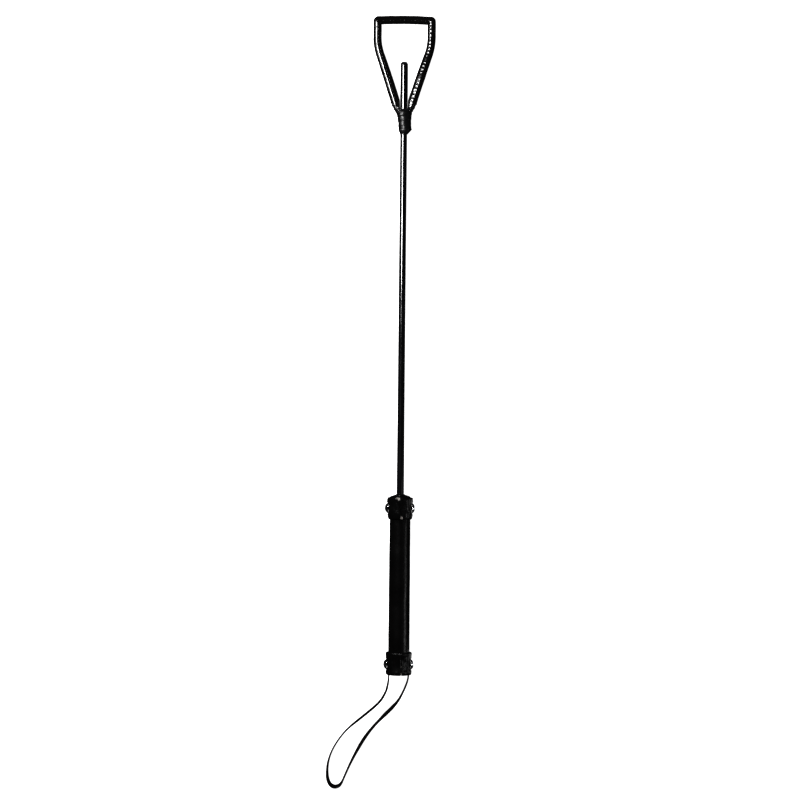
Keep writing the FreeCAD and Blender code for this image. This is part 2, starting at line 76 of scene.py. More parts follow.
def ease(value, low, high):
    """0 below low, 1 above high, and smooth between them."""
    share = np.clip((np.asarray(value, float) - low) / (high - low), 0, 1)
    return share * share * (3 - 2 * share)


def hump(value, middle, width):
    """A bell of height 1 at middle."""
    return np.exp(-(((np.asarray(value, float) - middle) / width) ** 2))


def wander(points, wavelength, seed):
    """Smooth noise from -1 to 1 at an (n, 3) array of points in millimetres."""
    shift = Vector((seed * 17.3, seed * 5.1, seed * 9.7))
    return np.array([noise.noise(Vector(point) / wavelength + shift) for point in points])


# ---------------------------------------------------------------- meshes from rings of points


def mesh_object(name, vertices, faces, uvs):
    """A smooth-shaded object in the row frame from crop millimetres."""
    mesh = bpy.data.meshes.new(name)
    mesh.from_pydata(row_points(vertices).tolist(), [], faces)
    layer = mesh.uv_layers.new(name="UVMap")
    corners = [uvs[vertex] for face in faces for vertex in face]
    layer.data.foreach_set("uv", np.array(corners, float).ravel())
    mesh.polygons.foreach_set("use_smooth", [True] * len(mesh.polygons))
    mesh.update()
    thing = bpy.data.objects.new(name, mesh)
    bpy.context.scene.collection.objects.link(thing)
    return thing


def skin_parts(rings, closed=False, capped=True):
    """Vertices, faces and UVs of a tube through rings, an (m, n, 3) array of points in millimetres."""
    rings = np.asarray(rings, float)
    count, sides = rings.shape[:2]
    vertices = rings.reshape(-1, 3)
    faces = []
    for row in range(count if closed else count - 1):
        here, there = row * sides, (row + 1) % count * sides
        for side in range(sides):
            following = (side + 1) % sides
            faces.append((here + side, here + following, there + following, there + side))
    middles = rings.mean(1)
    steps = np.linalg.norm(np.diff(middles, axis=0), axis=1)
    length = np.concatenate([[0], np.cumsum(steps)])
    # On a lathe with a radial profile the rings' middles may not move, so the length follows a rail instead.
    rail = np.concatenate([[0], np.cumsum(np.linalg.norm(np.diff(rings[:, 0], axis=0), axis=1))])
    length = rail if length[-1] < 0.5 * rail[-1] else length
    share = np.abs(np.linspace(-1, 1, sides, endpoint=False))
    uvs = np.stack([np.tile(share, count), np.repeat(length * MM, sides)], 1)
    if capped and not closed:
        for row, flip in ((0, True), (count - 1, False)):
            vertices = np.vstack([vertices, middles[row]])
            uvs = np.vstack([uvs, [0, length[row] * MM]])
            centre = len(vertices) - 1
            for side in range(sides):
                ends = (row * sides + side, row * sides + (side + 1) % sides)
                faces.append((centre, *(ends[::-1] if flip else ends)))
    return vertices, faces, uvs


def skin(name, rings, capped=True):
    """An object whose surface is a tube through rings."""
    return mesh_object(name, *skin_parts(rings, capped=capped))


def together(name, parts):
    """One object from several (vertices, faces, uvs)."""
    vertices, faces, uvs, start = [], [], [], 0
    for part_vertices, part_faces, part_uvs in parts:
        vertices.append(part_vertices)
        uvs.append(part_uvs)
        faces += [tuple(corner + start for corner in face) for face in part_faces]
        start += len(part_vertices)
    return mesh_object(name, np.vstack(vertices), faces, np.vstack(uvs))


def soft_line(corners, step=0.5, passes=3):
    """A line through corners with its corners cut away, sampled about every step millimetres."""
    line = np.asarray(corners, float)
    for _ in range(passes):
        cut = np.empty((2 * len(line), line.shape[1]))
        cut[0], cut[-1] = line[0], line[-1]
        cut[1:-1:2] = 0.75 * line[:-1] + 0.25 * line[1:]
        cut[2::2] = 0.25 * line[:-1] + 0.75 * line[1:]
        line = cut
    return evenly(line, step)


def evenly(line, step):
    """The same line with points about every step millimetres."""
    steps = np.linalg.norm(np.diff(line, axis=0), axis=1)
    length = np.concatenate([[0], np.cumsum(steps)])
    places = np.linspace(0, length[-1], max(2, int(length[-1] / step) + 1))
    return np.stack([np.interp(places, length, line[:, axis]) for axis in range(line.shape[1])], 1)


def turned_rings(profile, sides, relief=None):
    """Rings about the crop's axis from a (radius, along) profile; relief(angles, along, radius) adds to it.

    An angle of 0 points right and a quarter turn points up.
    """
    angles = np.linspace(0, TAU, sides, endpoint=False)
    rings = []
    for radius, along in profile:
        out = np.full(sides, radius) if relief is None else radius + relief(angles, along, radius)
        rings.append(np.stack([out * np.cos(angles), np.full(sides, along), out * np.sin(angles)], 1))
    return np.array(rings)


def sweep_rings(path, radius, sides):
    """Round rings along an (m, 3) path in millimetres, with no twist."""
    path = np.asarray(path, float)
    heading = np.gradient(path, axis=0)
    heading /= np.linalg.norm(heading, axis=1)[:, None]
    start = np.cross(heading[0], [0, 0, 1] if abs(heading[0][2]) < 0.9 else [1, 0, 0])
    side = start / np.linalg.norm(start)
    angles = np.linspace(0, TAU, sides, endpoint=False)
    rings = []
    for place, way in zip(path, heading):
        side = side - way * (side @ way)
        side /= np.linalg.norm(side)
        other = np.cross(way, side)
        rings.append(place + radius * (np.cos(angles)[:, None] * side + np.sin(angles)[:, None] * other))
    return np.array(rings)


# ---------------------------------------------------------------- materials


def shader(name, base, roughness, **settings):
    """A material with the named Principled sockets set on the shader itself."""
    material = bpy.data.materials.new(name)
    material.use_nodes = True
    node = material.node_tree.nodes["Principled BSDF"]
    node.inputs["Base Color"].default_value = (*base, 1)
    node.inputs["Roughness"].default_value = roughness
    for socket, value in settings.items():
        node.inputs[socket.replace("_", " ")].default_value = value
    return material, node


def add(material, kind, **settings):
    """A node with its sockets, or its own properties, set by name."""
    node = material.node_tree.nodes.new(kind)
    for key, value in settings.items():
        socket = key.replace("_", " ")
        if socket in node.inputs:
            node.inputs[socket].default_value = value
        else:
            setattr(node, key, value)
    return node


def link(material, start, end):
    material.node_tree.links.new(start, end)


def coordinates(material, kind="Object"):
    return add(material, "ShaderNodeTexCoord").outputs[kind]


def noise_field(material, scale, detail):
    """Noise from 0 to 1, with scale lumps to a metre."""
    field = add(material, "ShaderNodeTexNoise", Scale=scale, Detail=detail, Roughness=0.55)
    link(material, coordinates(material), field.inputs["Vector"])
    return field.outputs["Fac"]


def ranged(material, value, low, high, start=0.3, stop=0.7):
    """The value from start to stop, stretched to run from low to high."""
    node = add(material, "ShaderNodeMapRange")
    for socket, number in zip(("From Min", "From Max", "To Min", "To Max"), (start, stop, low, high)):
        node.inputs[socket].default_value = number
    link(material, value, node.inputs["Value"])
    return node.outputs["Result"]


def scaled(colour, factor):
    return tuple(factor * channel for channel in colour)


def tinted(material, value, dark, light):
    """A colour between two, led by a value."""
    ramp = add(material, "ShaderNodeValToRGB")
    ramp.color_ramp.elements[0].position, ramp.color_ramp.elements[1].position = 0.3, 0.7
    ramp.color_ramp.elements[0].color = (*dark, 1)
    ramp.color_ramp.elements[1].color = (*light, 1)
    link(material, value, ramp.inputs["Fac"])
    return ramp.outputs["Color"]


def bumped(material, node, layers):
    """Chain bumps of (height, distance in metres, strength) into a shader's normal."""
    normal = None
    for height, distance, strength in layers:
        bump = add(material, "ShaderNodeBump", Strength=strength, Distance=distance)
        link(material, height, bump.inputs["Height"])
        if normal:
            link(material, normal, bump.inputs["Normal"])
        normal = bump.outputs["Normal"]
    link(material, normal, node.inputs["Normal"])


def leather(name, base, roughness, grain, grain_height, crease_height, gloss):
    """Leather: pebbled grain, broad creases, and a finish that varies where hands polish it.

    The grain is the pebbles' size in millimetres, and the two heights are in metres.
    """
    material, node = shader(name, base, roughness, Specular_IOR_Level=gloss)
    pebbles = add(material, "ShaderNodeTexVoronoi", Scale=1 / (grain * MM), feature="DISTANCE_TO_EDGE")
    link(material, coordinates(material), pebbles.inputs["Vector"])
    pores = ranged(material, pebbles.outputs["Distance"], 0, 1, 0.0, 0.35)
    creases = noise_field(material, 260, 5)
    handling = noise_field(material, 55, 3)
    lighter = tuple(1.6 * channel + 0.0005 for channel in base)
    link(material, tinted(material, handling, base, lighter), node.inputs["Base Color"])
    link(material, ranged(material, handling, 0.8 * roughness, 1.3 * roughness), node.inputs["Roughness"])
    bumped(material, node, [(creases, crease_height, 0.5), (pores, grain_height, 0.6)])
    return material


def lacquer(name, base, roughness, ripple=0.00002, coat=0.6, gloss=0.5):
    """Glossy lacquer with a faint ripple, its height in metres, and a few dull smears."""
    material, node = shader(
        name, base, roughness, Coat_Weight=coat, Coat_Roughness=0.06, Specular_IOR_Level=gloss)
    waves = noise_field(material, 180, 2)
    smears = noise_field(material, 30, 4)
    link(material, tinted(material, smears, base, scaled(base, 1.8)), node.inputs["Base Color"])
    link(material, ranged(material, smears, roughness - 0.03, roughness + 0.09), node.inputs["Roughness"])
    bumped(material, node, [(waves, ripple, 0.5)])
    return material


THREAD_PITCH = 0.0011  # metres along a thread in which its strands turn once


def thread(name, base):
    """Waxed thread: strands that twist round it, led by its UVs, and a little fluff."""
    material, node = shader(name, base, 0.2, Specular_IOR_Level=0.6)
    where = add(material, "ShaderNodeSeparateXYZ")
    link(material, coordinates(material, "UV"), where.inputs["Vector"])
    lean = add(material, "ShaderNodeMath", operation="MULTIPLY_ADD")
    lean.inputs[1].default_value = 1 / THREAD_PITCH
    link(material, where.outputs["Y"], lean.inputs[0])
    link(material, where.outputs["X"], lean.inputs[2])
    turn = add(material, "ShaderNodeMath", operation="MULTIPLY")
    turn.inputs[1].default_value = TAU
    link(material, lean.outputs["Value"], turn.inputs[0])
    strands = add(material, "ShaderNodeMath", operation="SINE")
    link(material, turn.outputs["Value"], strands.inputs[0])
    fluff = noise_field(material, 2500, 2)
    link(material, tinted(material, fluff, base, scaled(base, 2.5)), node.inputs["Base Color"])
    bumped(material, node, [(strands.outputs["Value"], 0.00002, 0.5), (fluff, 0.000005, 0.3)])
    return material


def chrome(name):
    """Bright plating with fine rubbing marks and a little grime."""
    material, node = shader(name, (0.83, 0.84, 0.86), 0.1, Metallic=1.0)
    rubs = noise_field(material, 900, 4)
    grime = noise_field(material, 240, 3)
    link(material, ranged(material, rubs, 0.05, 0.2), node.inputs["Roughness"])
    link(material, tinted(material, grime, (0.55, 0.56, 0.58), (0.88, 0.89, 0.9)), node.inputs["Base Color"])
    bumped(material, node, [(rubs, 0.000008, 0.35)])
    return material


def wood(name):
    """Pale wood with wavering rings."""
    material, node = shader(name, (0.42, 0.28, 0.15), 0.6)
    rings = add(material, "ShaderNodeTexWave", Scale=180, Distortion=6, Detail=3)
    link(material, coordinates(material), rings.inputs["Vector"])
    colour = tinted(material, rings.outputs["Fac"], (0.3, 0.18, 0.09), (0.5, 0.35, 0.2))
    link(material, colour, node.inputs["Base Color"])
    bumped(material, node, [(rings.outputs["Fac"], 0.00005, 0.3)])
    return material


def plain_inner(name, base, roughness, metallic=0.0):
    """The finish of a hidden inner piece: fibreglass, steel or cotton with fine streaks."""
    material, node = shader(name, base, roughness, Metallic=metallic)
    streaks = noise_field(material, 700, 4)
    link(material, tinted(material, streaks, scaled(base, 0.8), base), node.inputs["Base Color"])
    bumped(material, node, [(streaks, 0.00003, 0.3)])
    return material


MATERIALS = {
    "loop": leather(
        "loop_leather", (0.0035, 0.0033, 0.0032), 0.11,
        grain=0.8, grain_height=0.000006, crease_height=0.00003, gloss=0.5),
    "grip": leather(
        "grip_leather", (0.003, 0.0028, 0.0028), 0.22,
        grain=1.0, grain_height=0.00005, crease_height=0.00012, gloss=0.22),
    "collar": leather(
        "collar_leather", (0.003, 0.0028, 0.0028), 0.24,
        grain=1.2, grain_height=0.00007, crease_height=0.0002, gloss=0.26),
    "strap": leather(
        "strap_leather", (0.004, 0.0035, 0.0033), 0.3,
        grain=0.7, grain_height=0.00004, crease_height=0.00008, gloss=0.35),
    "edge": leather(
        "strap_edge", (0.0035, 0.003, 0.0028), 0.24,
        grain=2.0, grain_height=0.00001, crease_height=0.00006, gloss=0.4),
    # Raw leather on the collars' cut faces, its light grey partly a painted highlight in the notches.
    "raw_edge_painted_highlight": leather(
        "raw_leather_edge_painted_highlight", (0.24, 0.225, 0.21), 0.7,
        grain=0.5, grain_height=0.00008, crease_height=0.0001, gloss=0.2),
    "shaft": lacquer("shaft_lacquer", (0.003, 0.003, 0.0034), 0.12),
    "tip": lacquer("tip_lacquer", (0.003, 0.003, 0.0034), 0.09),
    "wrap": lacquer("wrap_tape", (0.0035, 0.0035, 0.0037), 0.22, ripple=0.00008, coat=0.0, gloss=0.22),
    "thread": thread("waxed_thread", (0.005, 0.005, 0.0055)),
    "chrome": chrome("nail_chrome"),
    "wood": wood("core_wood"),
    "rod": plain_inner("core_fibreglass", (0.6, 0.58, 0.5), 0.4),
    "wire": plain_inner("spring_steel", (0.55, 0.55, 0.56), 0.3, 1.0),
    "cotton": plain_inner("cotton_cord", (0.6, 0.56, 0.48), 0.85),
}


def dress(thing, material, stands_for=()):
    """Give a piece of the crop its material and slot, and hide the nodes it stands for."""
    thing.data.materials.append(MATERIALS[material])
    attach(thing, "crop")
    if stands_for:
        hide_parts(*stands_for)


# ---------------------------------------------------------------- shaft and tip

SLEEVE = [(3.3, 160.0), (3.26, 168.0), (3.1, 280.0), (3.06, 505.0), (3.0, 521.5)]  # radius, along
SLEEVE_OUT_OF_ROUND = 0.012
SHAFT_SIDES = 48
TIP_DOME = [(0.0, 568.1), (1.3, 568.1), (2.95, 567.7), (3.32, 565.6), (3.36, 562.4)]  # radius, along
TIP_BODY = [(3.38, 550.0), (3.4, 532.0), (3.4, 523.0), (3.4, 521.6), (2.0, 521.6)]
AXIS_R = 0.02  # points of an outline nearer to the axis than this are left to the end cap


def make_shaft():
    def not_quite_round(angles, along, radius):
        return SLEEVE_OUT_OF_ROUND * np.sin(2 * angles + along / 23)

    rings = turned_rings(evenly(np.array(SLEEVE), 1.2), SHAFT_SIDES, not_quite_round)
    dress(skin("shaft_sleeve_gloss", rings), "shaft", stands_for=["shaft_sleeve"])


def make_tip():
    line = soft_line(TIP_DOME + TIP_BODY, 0.35, 3)[::-1]
    line = line[line[:, 0] > AXIS_R]
    dress(skin("tip_cap_gloss", turned_rings(line, SHAFT_SIDES)), "tip", stands_for=["tip_cap"])


# ---------------------------------------------------------------- loop head

BAR_ALONG = 606.8
BAR_R = 3.8
BAR_BOW = 0.45
LEG_ACROSS = 25.15
LEG_R = 3.75
DEPTH_R = 3.5
OUTER_CORNER_R = 4.7
INNER_CORNER = 0.25  # how far the corner's pivot stands inside the bar and the leg
STATION_STEP = 0.8
KNEE_ALONG = 591.2
KNEE_R = 53.0
LEAN = math.atan(0.3228)  # of the legs, below their knees
TAPER = (514.5, 532.0)  # where the legs are squeezed into the binding
FOOT_HALF = 1.3
LOOP_FOOT = 517.0
SEAM_FLAP = (590.0, 548.0)  # the inner seam allowance widens between these places
SEAM_FLAP_WIDTH = 1.0
SEAM_ANGLE = math.radians(105)  # from straight outward, a quarter turn being the front
SEAM_PITCH = 3.3
STITCH_HALF = 1.05
STITCH_R = 0.32
STITCH_DIVE = 0.6
SQUEEZED_BY = 0.9  # how much less deep the legs are in the binding
ROD_CLEAR = 3.3  # the legs' inner sides stay this far from the crop's axis
CLEAR_BELOW = 560.0  # up to here


def half_loop():
    """Stations of the right half, from the middle of the bar to the foot of the leg.

    Each is (centre across, centre along, outward across, outward along, outer half width, inner half width,
    half depth, corner share).
    """
    stations = []
    pivot = np.array([LEG_ACROSS - LEG_R - INNER_CORNER, BAR_ALONG - BAR_R - INNER_CORNER])
    for across in np.arange(0, pivot[0], STATION_STEP):
        bow = BAR_BOW * (1 - (across / pivot[0]) ** 2)
        stations.append((across, BAR_ALONG + bow, 0, 1, BAR_R, BAR_R, DEPTH_R, 0))
    outer = np.array([LEG_ACROSS + LEG_R, BAR_ALONG + BAR_R])
    hub = outer - OUTER_CORNER_R
    gap = hub - pivot
    for turn in np.radians(np.linspace(90, 0, 25)):
        way = np.array([math.cos(turn), math.sin(turn)])
        reach = min((outer[axis] - pivot[axis]) / max(way[axis], 1e-6) for axis in (0, 1))
        if (pivot + way * reach > hub).all():
            reach = way @ gap + math.sqrt((way @ gap) ** 2 - gap @ gap + OUTER_CORNER_R ** 2)
        corner = math.sin(2 * turn)
        inner = INNER_CORNER * (1 + corner)
        half = (reach - inner) / 2
        stations.append((*(pivot + way * (inner + half)), *way, half, half, DEPTH_R, corner))
    for along in np.arange(pivot[1] - STATION_STEP, KNEE_ALONG, -STATION_STEP):
        stations.append((LEG_ACROSS, along, 1, 0, LEG_R, LEG_R, DEPTH_R, 0))
    for turn in np.linspace(0, LEAN, 22):
        way = np.array([math.cos(turn), -math.sin(turn)])
        centre = np.array([LEG_ACROSS - KNEE_R, KNEE_ALONG]) + KNEE_R * way
        stations.append((*centre, *way, LEG_R, LEG_R, DEPTH_R, 0))
    down = np.array([way[1], -way[0]])
    for run in np.arange(STATION_STEP, BAR_ALONG - LOOP_FOOT, STATION_STEP):
        across, along = centre + down * run
        if along < LOOP_FOOT:
            break
        stations.append((across, along, *way, LEG_R, LEG_R, DEPTH_R, 0))
    return [squeezed(*station) for station in stations]


def squeezed(across, along, out_across, out_along, outer, inner, deep, corner):
    """A station with its seam allowance added, and pressed narrow where it goes into the binding."""
    if along < SEAM_FLAP[0]:
        inner = inner + SEAM_FLAP_WIDTH * float(1 - ease(along, SEAM_FLAP[1], SEAM_FLAP[0]))
    if along < TAPER[1]:
        full = float(ease(along, *TAPER))
        outer = FOOT_HALF + (outer - FOOT_HALF) * full
        inner = FOOT_HALF + (inner - FOOT_HALF) * full
        across = max(across, ROD_CLEAR + FOOT_HALF)
        deep = deep - SQUEEZED_BY * (1 - full)
    if along < CLEAR_BELOW:
        inner = min(inner, (across - ROD_CLEAR) * out_across)
    return across, along, out_across, out_along, outer, inner, deep, corner


def loop_stations():
    """The whole loop's stations, from the left foot round to the right one."""
    right = half_loop()
    left = [(-across, along, -out_across, *rest) for across, along, out_across, *rest in right[:0:-1]]
    return np.array(left + right)


def run_lengths(stations):
    """How far along the loop each station is."""
    return np.concatenate([[0], np.cumsum(np.linalg.norm(np.diff(stations[:, :2], axis=0), axis=1))])


def round_point(station, angles):
    """Places round a station's section, and the way out of it; angle 0 is straight outward."""
    across, along, out_across, out_along, outer, inner, deep, _ = station
    plane = np.array([out_across, out_along]) / math.hypot(out_across, out_along)
    cosine, sine = np.cos(angles), np.sin(angles)
    wide = np.where(cosine > 0, outer, inner)
    flat = np.array([across, along]) + (wide * cosine)[:, None] * plane
    places = np.column_stack([flat, deep * sine])
    return places, np.column_stack([cosine[:, None] * plane, sine])


CORNER_CREASES = ((27, 0.34), (45, 0.5), (64, 0.38))  # degrees round the corner, and depth
CREASE_WIDTH = 4.0  # degrees
SEAM_RELIEF = ((0.05, 0.42, 0.24), (-0.12, 0.0, 0.1), (0.02, -0.3, 0.16))  # height, angle, width
SEAM_FADES = (572.0, 592.0)  # the seam is bold below this stretch and faint above it
FAINT_SEAM = 0.3
PUFF = 0.14  # how far the leather swells between two stitches
PUFF_ENDS = 596.0  # where the swelling fades out under the bar


def loop_rings(stations, sides=64):
    """The rolled cover: a seam with a groove beside it, puffed between stitches, creased at the corners."""
    angles = np.linspace(0, TAU, sides, endpoint=False)
    inside = np.clip(-np.cos(angles), 0, 1)
    front = np.abs(np.sin(angles))
    off = np.angle(np.exp(1j * (angles - SEAM_ANGLE)))
    seam = sum(height * hump(off, angle, width) for height, angle, width in SEAM_RELIEF)
    rings = []
    for station, run in zip(stations, run_lengths(stations)):
        along, out_across, out_along, corner = station[[1, 2, 3, 7]]
        places, ways = round_point(station, angles)
        bold = FAINT_SEAM + (1 - FAINT_SEAM) * float(1 - ease(along, *SEAM_FADES))
        on_leg = float(ease(PUFF_ENDS - along, 0, 6))
        uneven = 0.55 + 0.45 * math.sin(run / 7.3) * math.sin(run / 4.1 + 1)
        puff = PUFF * on_leg * uneven * math.cos(TAU * run / SEAM_PITCH)
        relief = bold * seam + puff * hump(off, 0.0, 0.14)
        if corner > 0:
            turn = math.degrees(math.atan2(out_along, abs(out_across)))
            for fold, depth in CORNER_CREASES:
                relief = relief - depth * hump(turn, fold, CREASE_WIDTH) * (0.15 + inside) * (1 - 0.5 * front)
        lumps = 0.09 * wander(places, 9.0, 1) + 0.05 * wander(places, 2.6, 2)
        rings.append(places + ways * (relief + lumps)[:, None])
    return np.array(rings)


def stitch_parts(start, end, outward):
    """One stitch: a short length of thread that dives in at both ends."""
    share = np.linspace(0, 1, 9)[:, None]
    line = start + (end - start) * share
    dive = STITCH_DIVE * (np.abs(2 * share - 1) ** 3)
    return skin_parts(sweep_rings(line - outward * dive, STITCH_R, 8))


def make_loop():
    stations = loop_stations()
    cover = skin("loop_cover_leather", loop_rings(stations))
    dress(cover, "loop", stands_for=["head_cover"])
    length = run_lengths(stations)

    def on_seam(run):
        station = [np.interp(run, length, stations[:, column]) for column in range(8)]
        places, ways = round_point(station, np.array([SEAM_ANGLE]))
        return places[0] + 0.1 * ways[0], ways[0]

    stitches = []
    for number in range(int(length[-1] / SEAM_PITCH)):
        middle = (number + 0.5) * SEAM_PITCH
        along = np.interp(middle, length, stations[:, 1])
        corner = np.interp(middle, length, stations[:, 7])
        if along < TAPER[1] or corner > 0.02:
            continue
        (start, way), (end, _) = on_seam(middle - STITCH_HALF), on_seam(middle + STITCH_HALF)
        stitches.append(stitch_parts(start, end, way))
    dress(together("loop_stitches", stitches), "thread", stands_for=["head_stitching"])


# ---------------------------------------------------------------- neck binding

WRAP_LEVELS = [  # along, half width, half depth, middle
    (505.6, 5.85, 4.2, 1.15), (507.5, 5.9, 4.35, 1.05), (511.0, 5.75, 4.3, 0.85), (514.5, 6.15, 4.35, 0.65),
    (518.2, 6.6, 4.5, 0.5), (520.5, 7.1, 4.6, 0.3), (521.7, 7.3, 4.6, 0.2), (522.3, 6.9, 4.2, 0.2),
    (521.6, 6.0, 3.6, 0.2),
]
LIP_LEVELS = [  # the tape's end below the wrap, in the same terms
    (506.2, 5.2, 3.9, 1.1), (505.7, 5.95, 4.3, 1.3), (504.6, 6.2, 4.35, 1.3), (503.0, 5.0, 4.0, 0.9),
    (501.4, 3.9, 3.5, 0.45), (500.2, 3.05, 3.0, 0.05), (500.4, 2.7, 2.7, 0.0),
]
TAPE_PITCH = 4.6
TAPE_STARTS = 505.0
LIP_TILT = 0.06
LASHING_R = 0.42
LASHING_TURNS = [
    # along in the crotch, along at the legs' outer sides, and the share by which one side is higher
    (521.9, 522.4, 0.0), (522.6, 524.2, 0.2), (523.1, 526.2, -0.25),
    (523.4, 528.2, 0.2), (522.9, 529.6, -0.1),
]
LASHING_GAP = 0.15  # from the legs to the thread


def oval_rings(levels, sides, relief, tilt=0.0):
    """Oval rings about the axis; tilt lowers the left side by its share of the offset across."""
    line = soft_line(np.array(levels), 0.3, 2)
    angles = np.linspace(0, TAU, sides, endpoint=False)
    rings = []
    for along, wide, deep, middle in line:
        out = relief(angles, along)
        across = middle + (wide + out) * np.cos(angles)
        up = (deep + out) * np.sin(angles)
        rings.append(np.stack([across, along + tilt * across, up], 1))
    return np.array(rings)


def tape_relief(angles, along):
    """Each turn of tape lies over the edge of the one below."""
    turn = ((along - TAPE_STARTS) / TAPE_PITCH + angles / TAU) % 1.0
    step = 0.26 * (ease(turn, 0.0, 0.08) - turn) * ease(along, TAPE_STARTS + 1, TAPE_STARTS + 3)
    wrinkle = 0.12 * np.sin(3 * angles + along * 0.9) * hump(np.sin(angles), 0.8, 0.6)
    return step + wrinkle


def make_neck():
    def ragged(angles, along):
        return 0.10 * np.sin(5 * angles + 2)

    wrap = skin("neck_wrap_tape", oval_rings(WRAP_LEVELS, 72, tape_relief), capped=False)
    dress(wrap, "wrap", stands_for=["neck_wrap"])
    lip = skin("neck_wrap_lip", oval_rings(LIP_LEVELS[::-1], 72, ragged, LIP_TILT), capped=False)
    dress(lip, "wrap")
    lines = [lashing_turn(*turn) for turn in LASHING_TURNS]
    turns = [skin_parts(sweep_rings(line, LASHING_R, 10), closed=True) for line in lines]
    dress(together("neck_lashing_thread", turns), "thread", stands_for=["neck_lashing"])


def leg_reach(along):
    """How far the outer side of a leg stands from the crop's axis."""
    knee = LEG_ACROSS - (KNEE_ALONG - KNEE_R * math.tan(LEAN / 2) - along) * math.tan(LEAN)
    across = max(ROD_CLEAR + FOOT_HALF, knee)
    return across + (FOOT_HALF + (LEG_R - FOOT_HALF) * float(ease(along, *TAPER))) / math.cos(LEAN)


def lashing_turn(crotch, side, lean):
    """One turn of thread round both legs, which sags into the crotch at the front and the back."""
    angles = np.linspace(0, TAU, 120, endpoint=False)
    rise = np.abs(np.cos(angles)) ** 1.5
    along = crotch + (side - crotch) * rise * (1 + lean * np.cos(angles))
    reach = np.array([leg_reach(place) for place in along])
    deep = DEPTH_R + LASHING_GAP - SQUEEZED_BY * (1 - ease(along, *TAPER)) + 0.1 * np.sin(side)
    across = np.sign(np.cos(angles)) * np.abs(np.cos(angles)) ** 0.75 * (reach + LASHING_GAP)
    up = np.sign(np.sin(angles)) * np.abs(np.sin(angles)) ** 0.8 * (deep + LASHING_R)
    return np.stack([across, along, up], 1)


# ---------------------------------------------------------------- grip


GRIP_OUTLINE = [(9.55, 14.0), (9.7, 24.0), (9.65, 80.0), (9.5, 141.0), (9.4, 163.8)]  # radius, along
TUCKS = (22.0, 142.0)  # where the collars squeeze the cover
SHOULDER_OUTLINE = [
    (9.2, 162.0), (9.9, 163.6), (9.3, 164.6), (7.2, 165.4), (4.9, 166.0), (3.5, 166.9), (2.9, 166.4),
]
BUTT_OUTLINE = [(0.05, 0.42), (6.0, 0.36), (9.6, 0.34), (10.3, 0.9), (10.3, 1.5), (0.05, 1.5)]
SLOT_FLOOR = 8.2  # how far from the axis the butt's notches for the strap ends reach in
SLOT_HALF = 3.7


def grip_relief(angles, along, radius):
    """A hand-worn tube of leather, with its glued seam along the underside."""
    off = np.angle(np.exp(1j * (angles + TAU / 4)))
    seam = 0.22 * hump(off, 0.0, 0.07) - 0.20 * hump(off, 0.12, 0.035)
    points = np.stack([radius * np.cos(angles), np.full(len(angles), along), radius * np.sin(angles)], 1)
    tuck = sum(hump(along, place, 3.5) for place in TUCKS)
    tuck = 0.20 * tuck * wander(points * [1, 0.3, 1], 2.2, 6)
    return seam + 0.13 * wander(points * [1, 0.45, 1], 8.0, 4) + 0.05 * wander(points, 2.8, 5) + tuck


def make_grip():
    rings = turned_rings(evenly(np.array(GRIP_OUTLINE), 0.9), 120, grip_relief)
    dress(skin("grip_cover_leather", rings), "grip", stands_for=["grip_cover"])


def make_shoulder():
    """The cover gathered in round the foot of the shaft."""
    def pleats(angles, along, radius):
        inward = 1 - ease(radius, 3.2, 9.6)
        return 0.16 * inward * np.sin(13 * angles + 0.8 * np.sin(2 * angles)) * ease(radius, 2.9, 4.5)

    rings = turned_rings(soft_line(SHOULDER_OUTLINE, 0.3, 3), 104, pleats)
    dress(skin("shoulder_cap_leather", rings), "collar", stands_for=["upper_end_cap"])


def make_butt():
    """The disc that closes the butt, notched for the two strap ends."""
    def notched(angles, along, radius):
        in_slot = np.abs(radius * np.sin(angles)) < SLOT_HALF
        reach = np.where(in_slot, SLOT_FLOOR / np.abs(np.cos(angles)), radius)
        return np.minimum(reach, radius) - radius

    rings = turned_rings(soft_line(BUTT_OUTLINE, 0.3, 2), 160, notched)
    dress(skin("butt_disc_leather", rings), "collar", stands_for=["butt_disc"])


# ---------------------------------------------------------------- collars

NAIL_ALONG = {"lower": 9.7, "upper": 153.9}
COLLARS = {  # an outline is (radius, along)
    "lower": {
        "outline": [
            (10.45, 0.3), (10.9, 0.0), (11.45, 0.5), (11.8, 2.2), (11.5, 4.6), (11.2, 9.0), (11.25, 13.6),
            (11.5, 16.4), (11.95, 18.8), (11.7, 20.6), (10.9, 21.1), (9.9, 20.9), (9.7, 19.0), (9.8, 16.5),
            (10.4, 14.5), (10.45, 8.0),
        ],
        "foot": 0.0, "top": 21.0,
        "foot_seam": 2.2, "top_seam": 2.0,  # how far to the right of the crop's line the band's ends meet
        "foot_cut": (2.5, 0.9), "top_cut": (0.0, 1.0),  # how deep a notch is at the ends, and half its width
        "skive": (10.4, 11.3),  # the radii between which a cut slopes, so that its raw face shows, light grey as a painted highlight
        "seed": 11,
    },
    "upper": {
        "outline": [
            (9.6, 143.6), (10.3, 143.4), (10.9, 144.4), (11.3, 146.6), (11.4, 149.0), (11.3, 153.9),
            (11.3, 157.8), (11.6, 160.2), (11.9, 162.2), (11.5, 163.6), (10.6, 163.9), (9.6, 163.6),
            (9.5, 160.0), (9.5, 150.0),
        ],
        "foot": 143.5, "top": 164.5,
        "foot_seam": 1.6, "top_seam": -1.8,
        "foot_cut": (1.6, 1.3), "top_cut": (3.0, 1.8),
        "skive": (9.9, 11.0),
        "seed": 23,
    },
}

SLIT = 0.006  # radians between a band's ends
RIM = 2.0  # a cut is at its full depth this near to a rim
RAW_HIGHLIGHT_DEPTH = 0.3  # the least cut that shows raw leather, whose light grey is a painted highlight
